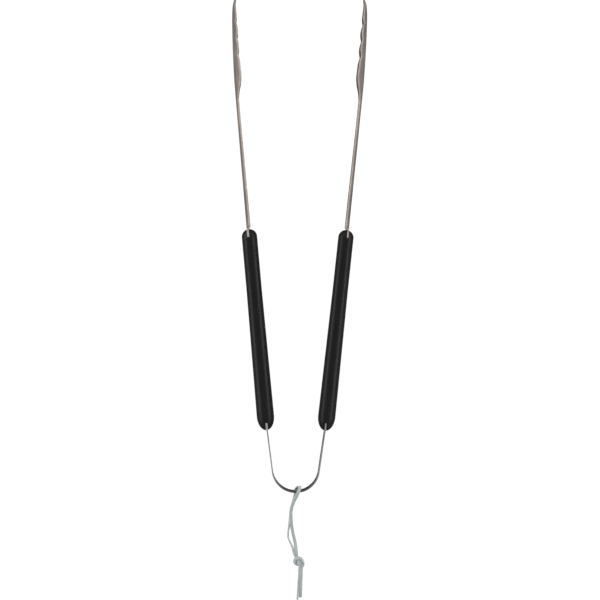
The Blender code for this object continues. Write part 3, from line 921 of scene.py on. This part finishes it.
# %% [markdown]
# ## The rivets
#
# Three pins hold each grip together, and their ends are ground flush with the round wood. They are the
# same pin three times, at an even pitch, so Geometry Nodes set them out: a line of points, one pin on
# each, and its length taken from the grip's own taper. The pin starts as a sphere that is squared off by
# raising its coordinates to a small power, which gives a cylinder with softly crowned ends in one rule.

# %% Plan the row of rivets
PIN_SIDES = 36
PIN_RINGS = 24
END_POWER = 0.04
WALL_POWER = -0.62
JUST_OVER_ONE = 1.0000001
rivet_tree = new_tree(
    "rivet row",
    Count="Int", First="Float", Pitch="Float", Diameter="Float",
    Low_Reach="Float", High_Reach="Float", Taper_End="Float", Steel="Material",
)
plan = Plan(rivet_tree)
start = plan.node("ShaderNodeCombineXYZ", None, {0: 0.0, 1: plan.inputs["First"], 2: 0.0})[0]
pitch = plan.node("ShaderNodeCombineXYZ", None, {0: 0.0, 1: plan.inputs["Pitch"], 2: 0.0})[0]
row = plan.node(
    "MeshLine", None,
    {"Count": plan.inputs["Count"], "Start Location": start, "Offset": pitch},
)[0]
ball = plan.node("MeshUVSphere", None, {"Segments": PIN_SIDES, "Rings": PIN_RINGS, "Radius": 1.0})[0]
part = plan.node("ShaderNodeSeparateXYZ", None, {0: plan.node("InputPosition")[0]})
flatness = plan.math("POWER", plan.math("ABSOLUTE", part[2]), END_POWER)
length = plan.math("MULTIPLY", plan.math("SIGN", part[2]), flatness)
reach = plan.math("SQRT", plan.math("SUBTRACT", JUST_OVER_ONE, plan.math("MULTIPLY", part[2], part[2])))
swell = plan.math("POWER", reach, WALL_POWER)
pin = plan.node(
    "ShaderNodeCombineXYZ", None,
    {0: length, 1: plan.math("MULTIPLY", part[0], swell), 2: plan.math("MULTIPLY", part[1], swell)},
)[0]
squared = plan.node("SetPosition", None, {"Geometry": ball, "Position": pin})[0]
where = plan.node("ShaderNodeSeparateXYZ", None, {0: plan.node("InputPosition")[0]})[1]
ranges = {1: 0.0, 2: plan.inputs["Taper End"], 3: plan.inputs["Low Reach"], 4: plan.inputs["High Reach"]}
taper = plan.node("ShaderNodeMapRange", None, {0: where, **ranges})[0]
radius = plan.math("MULTIPLY", plan.inputs["Diameter"], 0.5)
size = plan.node("ShaderNodeCombineXYZ", None, {0: taper, 1: radius, 2: radius})[0]
pins = plan.node("InstanceOnPoints", None, {"Points": row, "Instance": squared, "Scale": size})[0]
plan.finish(pins, plan.inputs["Steel"])
print("rivet tree:", len(rivet_tree.nodes), "nodes")

# %% Set out the rivets
RIVET_PROUD = 0.00006
RIVET_SHARP = math.radians(35)
rivets = {}
for side, sign in SIDES.items():
    holder = bpy.data.objects.new("rivet line", bpy.data.meshes.new("rivet line"))
    bpy.context.scene.collection.objects.link(holder)
    mesh = grown(
        holder, rivet_tree, Matrix.Identity(4),
        Count=len(GRIP_RIVETS), First=GRIP_RIVETS[0], Pitch=GRIP_RIVETS[1] - GRIP_RIVETS[0],
        Diameter=GRIP_RIVET_DIAMETER, Low_Reach=GRIP_LOW_RADIUS + RIVET_PROUD,
        High_Reach=GRIP_HIGH_RADIUS + RIVET_PROUD, Taper_End=GRIP_TAPER_END, Steel=RIVET_STEEL,
    )
    places = np.zeros(3 * len(mesh.vertices), np.float32)
    mesh.vertices.foreach_get("co", places)
    mesh.attributes.new("grain", "FLOAT_VECTOR", "POINT").data.foreach_set("vector", places)
    mesh.transform(grip_frame(sign))
    rivets[side] = closed_piece(f"{side}_grip_rivets", mesh, RIVET_STEEL, sharp=RIVET_SHARP)

# %% [markdown]
# ## The lace
#
# The lace is one flat strip of suede. It goes through the hole in the crown, its inner end turns up over
# the edge of the bow, and both strands run side by side to an overhand knot with two short tails. A flat
# strip never bends edgewise, it rolls, so besides its route each strand needs its roll: the direction of
# its width at every point. Route and roll are smooth curves through the same listed points, and the
# strip's own weight is in them: wherever nothing else holds it, it lies on the table.

# %% Choose the lace's route
LACE_WIDTH = 0.0030
LACE_THICKNESS = 0.0016
KNOT_CENTRE = Vector((0.0035, -0.0646, 0.00325))
# X, Y from the crown's outer face and Z from the table, then the lean of the strip's width in degrees.
STRAND_A = (
    (0.0000, 0.0005, 0.0075, 0),
    (-0.0002, -0.0026, 0.0073, 0),
    (-0.0010, -0.0062, 0.0058, 5),
    (-0.0021, -0.0104, 0.0037, 10),
    (-0.0031, -0.0149, 0.0020, 20),
    (-0.0038, -0.0193, 0.0014, 35),
    (-0.0048, -0.0265, 0.0014, 60),
    (-0.0058, -0.0338, 0.0016, 80),
    (-0.0063, -0.0397, 0.0016, 88),
    (-0.0058, -0.0439, 0.0016, 88),
    (-0.0039, -0.0478, 0.0016, 80),
    (-0.0020, -0.0520, 0.0016, 70),
    (-0.0010, -0.0556, 0.0020, 50),
)
STRAND_B = (
    (0.0001, 0.0010, 0.0075, 0),
    (0.0010, 0.0031, 0.0078, -5),
    (0.0026, 0.0048, 0.0098, -10),
    (0.0037, 0.0053, 0.0126, -20),
    (0.0038, 0.0044, 0.0153, -25),
    (0.0031, 0.0021, 0.0168, -25),
    (0.0020, -0.0006, 0.0167, -20),
    (0.0009, -0.0034, 0.0148, -15),
    (-0.0007, -0.0070, 0.0116, -10),
    (-0.0022, -0.0109, 0.0088, -5),
    (-0.0034, -0.0149, 0.0068, 0),
    (-0.0040, -0.0189, 0.0056, 0),
    (-0.0036, -0.0261, 0.0046, 0),
    (-0.0029, -0.0327, 0.0036, 0),
    (-0.0018, -0.0382, 0.0020, 0),
    (-0.0007, -0.0429, 0.0013, 0),
    (0.0004, -0.0478, 0.0014, 0),
    (0.0011, -0.0528, 0.0024, 0),
    (0.0014, -0.0560, 0.0040, 0),
)
TAIL_A = (
    (0.0044, -0.0705, 0.0016, 70),
    (0.0040, -0.0780, 0.0016, 80),
    (0.0034, -0.0880, 0.0016, 80),
    (0.0028, -0.0993, 0.0016, 78),
)
TAIL_B = (
    (0.0062, -0.0704, 0.0036, 0),
    (0.0060, -0.0770, 0.0032, 0),
    (0.0058, -0.0870, 0.0022, 4),
    (0.0056, -0.0970, 0.0012, 4),
)
# How far from the doubled strip's middle each of its two layers lies in the knot, in thicknesses.
LAYER_SHARE = 0.42
# The knot: millimetres from its middle, then the width's direction.
KNOT = (
    (-1.6, 3.4, -0.9, (0.9, 0.4, 0.2)),
    (-0.1, 0.9, 0.7, (0.8, 0.5, 0.3)),
    (0.9, -1.6, 1.2, (0.7, 0.4, 0.5)),
    (2.2, -3.8, -0.3, (0.3, 0.3, 0.9)),
    (3.7, -4.1, -1.2, (0.0, 0.2, 1.0)),
    (4.1, -2.2, -0.6, (-0.2, 0.1, 1.0)),
    (3.4, 0.7, 0.5, (-0.5, 0.0, 0.9)),
    (1.6, 3.0, 1.4, (-0.4, -0.7, 0.6)),
    (-1.0, 3.4, 1.5, (0.1, -1.0, 0.3)),
    (-2.9, 2.2, 0.6, (0.6, -0.4, 0.6)),
    (-3.2, -0.1, -0.5, (0.8, 0.0, 0.5)),
    (-2.1, -1.8, -1.3, (0.6, 0.7, 0.3)),
    (-0.2, -2.4, -1.5, (0.0, 0.9, 0.4)),
    (2.2, -2.4, -0.4, (0.5, 0.8, 0.3)),
    (2.9, -3.7, 1.0, (1.0, 0.3, 0.0)),
)
CROWN = ORIGIN + TURN @ Vector((0, 0, -STRIP_WIDTH / 2))
knot_middle = np.array(KNOT_CENTRE + Vector((0, CROWN.y, 0)))


def table_knots(points):
    """Route points and roll directions in the world, for a strand that mostly runs along Y."""
    spots = np.array([(x, CROWN.y + y, z) for x, y, z, angle in points])
    rolls = np.array([(math.cos(math.radians(p[3])), 0, math.sin(math.radians(p[3]))) for p in points])
    return spots, rolls


def knot_knots(layer):
    """The doubled strip's route through the knot. The two strips lie face to face, one layer apart."""
    spots = np.array([knot_middle + np.array(p[:3]) / 1000 for p in KNOT])
    rolls = unit(np.array([p[3] for p in KNOT]))
    face = unit(np.cross(rolls, slope(spots, 0)))
    return spots + layer * face * LACE_THICKNESS * LAYER_SHARE, rolls


def through(points, step):
    """Even steps along a smooth curve through points of any dimension."""
    ends = np.concatenate([[2 * points[0] - points[1]], points, [2 * points[-1] - points[-2]]])
    fine = []
    for before, first, last, after in zip(ends, ends[1:], ends[2:], ends[3:]):
        count = max(2, round(float(np.linalg.norm((last - first)[:3])) / step))
        for t in np.arange(count) / count:
            fine.append(
                first + 0.5 * t * (last - before)
                + t * t * (before - 2.5 * first + 2 * last - 0.5 * after)
                + t ** 3 * (1.5 * (first - last) + 0.5 * (after - before))
            )
    return np.array([*fine, points[-1]])


# %% Cut and lay the two strips
LACE_STEP = 0.0004
LACE_COLUMNS = 8
KNOT_REACH = 0.006
KNOT_PINCH = 0.15


def lace_strip(name, strand, tail, layer):
    """One strip from the hole through the knot to its cut end, and the line that it follows."""
    parts = [table_knots(strand), knot_knots(layer), table_knots(tail)]
    knots = np.concatenate([np.concatenate([spots, rolls], 1) for spots, rolls in parts])
    fine = through(knots, LACE_STEP)
    line, roll = fine[:, :3], fine[:, 3:]
    ahead = slope(line, 0)
    roll = unit(roll - (roll * ahead).sum(1, keepdims=True) * ahead)
    squeeze = np.exp(-(((line - knot_middle) ** 2).sum(1) / KNOT_REACH ** 2) ** 2)[:, None, None]
    width = LACE_WIDTH * (1 - KNOT_PINCH * squeeze)
    lift = LACE_WIDTH / 2 * np.abs(roll[:, 2]) + LACE_THICKNESS / 2 * np.sqrt(1 - roll[:, 2] ** 2)
    line[:, 2] = np.maximum(line[:, 2], lift)
    across = np.linspace(-0.5, 0.5, LACE_COLUMNS + 1)[None, :, None]
    inset = 1 - LACE_THICKNESS / LACE_WIDTH
    grid = line[:, None] + across * inset * width * roll[:, None]
    rings = thick_sheet(grid, LACE_THICKNESS, squareness=0.5)
    travel = np.concatenate([[0], np.cumsum(np.linalg.norm(np.diff(line, axis=0), axis=1))])
    ends = (len(rings) - len(line)) // 2
    travel = np.pad(travel, ends, "edge")
    half_ring = np.linspace(-LACE_WIDTH / 2, LACE_WIDTH / 2, rings.shape[1] // 2)
    own = np.zeros(rings.shape)
    own[..., 0] = np.concatenate([half_ring, half_ring[::-1]])
    own[..., 1] = travel[:, None]
    own[..., 2] = layer
    obj = skin(name, rings, own, LACE_SUEDE)
    print(name, "is", round(1000 * travel[-1]), "mm long")
    return obj, line, travel[-1]


lace_a, line_a, length_a = lace_strip("lace_lower_strip", STRAND_A, TAIL_A, -1)
lace_b, line_b, length_b = lace_strip("lace_upper_strip", STRAND_B, TAIL_B, 1)

# %% [markdown]
# ## Bodies
#
# The arms, the grip scales, the rivets and the lace now say what they ride on and which solids they stand
# for, and the tang rivets take the rivet steel. The two halves of the bow stay where they were made, and
# the solid bow is hidden.

# %% Hang the arms, grips, rivets and lace on their bodies
CROWN_MIDDLE = ORIGIN.copy()
for side, sign in SIDES.items():
    body = f"{side}_arm"
    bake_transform(bow_halves[side])
    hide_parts("bow_spring")
    riders = [(arms[side], "arm_steel", [f"{side}_arm"])]
    riders += [(scales[side, layer], "grip", [f"{side}_{layer}_scale"]) for layer in ("outer", "inner")]
    riders += [(rivets[side], "rivet_steel", [f"{side}_grip_rivet_{k}" for k in (1, 2, 3)])]
    for obj, finish, nodes in riders:
        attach(obj, body)
        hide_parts(*nodes)
    for k in (1, 2):
        node = frame["nodes"][f"{side}_tang_rivet_{k}"]
        node.data.materials.clear()
        node.data.materials.append(RIVET_STEEL)

for obj, name, line, length in ((lace_a, "a", line_a, length_a), (lace_b, "b", line_b, length_b)):
    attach(obj, "bow")
    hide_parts(f"lace_strand_{name}", "lace_knot", f"lace_tail_{name}")

# %% [markdown]
# ## Table and light
#
# Polished steel shows its surroundings more than itself, so the lights are set for their reflections. A
# long soft box on each side draws the two lengthwise highlights down each grip and the bright bands on
# the arms. The world is a room of greys that are palest at eye level and darker below, so that steel that
# looks away from the boxes stays dark. The table glows just enough to be white, and reflections pass it
# by, because a white table mirrored at a low angle would bleach the edges of the steel and of the grips.

# %% Lay the table and hang the lights
TABLE_HALF = 3.0
TABLE_DROP = 0.0002


def table():
    """A plain white square that the tongs lie on."""
    mesh = bpy.data.meshes.new("table")
    signs = [(-1, -1), (1, -1), (1, 1), (-1, 1)]
    corners = [(TABLE_HALF * x, TABLE_HALF * y, -TABLE_DROP) for x, y in signs]
    mesh.from_pydata(corners, [], [(0, 1, 2, 3)])
    paint = Paint("white table", Base_Color=(0.18, 0.18, 0.18, 1), Roughness=0.9, Specular_IOR_Level=0.0)
    paint.set(Emission_Color=(1.0, 1.0, 1.0, 1.0), Emission_Strength=0.95)
    obj = new_piece("table", mesh, paint.material)
    obj.visible_glossy = False


def softbox(name, place, size, power):
    """A rectangular light that looks at the middle of the table."""
    data = bpy.data.lights.new(name, "AREA")
    data.shape = "RECTANGLE"
    data.size, data.size_y = size
    data.energy = power
    obj = bpy.data.objects.new(name, data)
    bpy.context.scene.collection.objects.link(obj)
    obj.matrix_world = aimed(Vector(place), Vector())


table()
softbox("right box", (1.00, 0.05, 0.62), (0.30, 1.6), 5.0)
softbox("left box", (-1.05, 0.05, 0.42), (0.30, 1.6), 5.0)
softbox("far box", (0.0, 1.3, 0.9), (1.2, 0.5), 3.0)

# From straight down, 0, to straight up, 1, and the grey that is seen there.
ROOM = ((0.0, 0.19), (0.35, 0.26), (0.5, 0.50), (0.75, 0.35), (1.0, 0.42))


def grey_room():
    """A world whose grey depends only on how high one looks."""
    world = bpy.data.worlds.new("grey room")
    bpy.context.scene.world = world
    world.use_nodes = True
    nodes, links = world.node_tree.nodes, world.node_tree.links
    way = nodes.new("ShaderNodeTexCoord")
    part = nodes.new("ShaderNodeSeparateXYZ")
    height = nodes.new("ShaderNodeMapRange")
    height.inputs["From Min"].default_value = -1.0
    shades = nodes.new("ShaderNodeValToRGB")
    elements = shades.color_ramp.elements
    while len(elements) < len(ROOM):
        elements.new(1.0)
    for element, (level, grey) in zip(elements, ROOM):
        element.position = level
        element.color = (grey, grey, grey, 1.0)
    links.new(way.outputs["Generated"], part.inputs[0])
    links.new(part.outputs["Z"], height.inputs["Value"])
    links.new(height.outputs[0], shades.inputs["Fac"])
    links.new(shades.outputs["Color"], nodes["Background"].inputs["Color"])


grey_room()
bpy.context.scene.view_settings.view_transform = "Standard"
print("three soft boxes and a grey room")
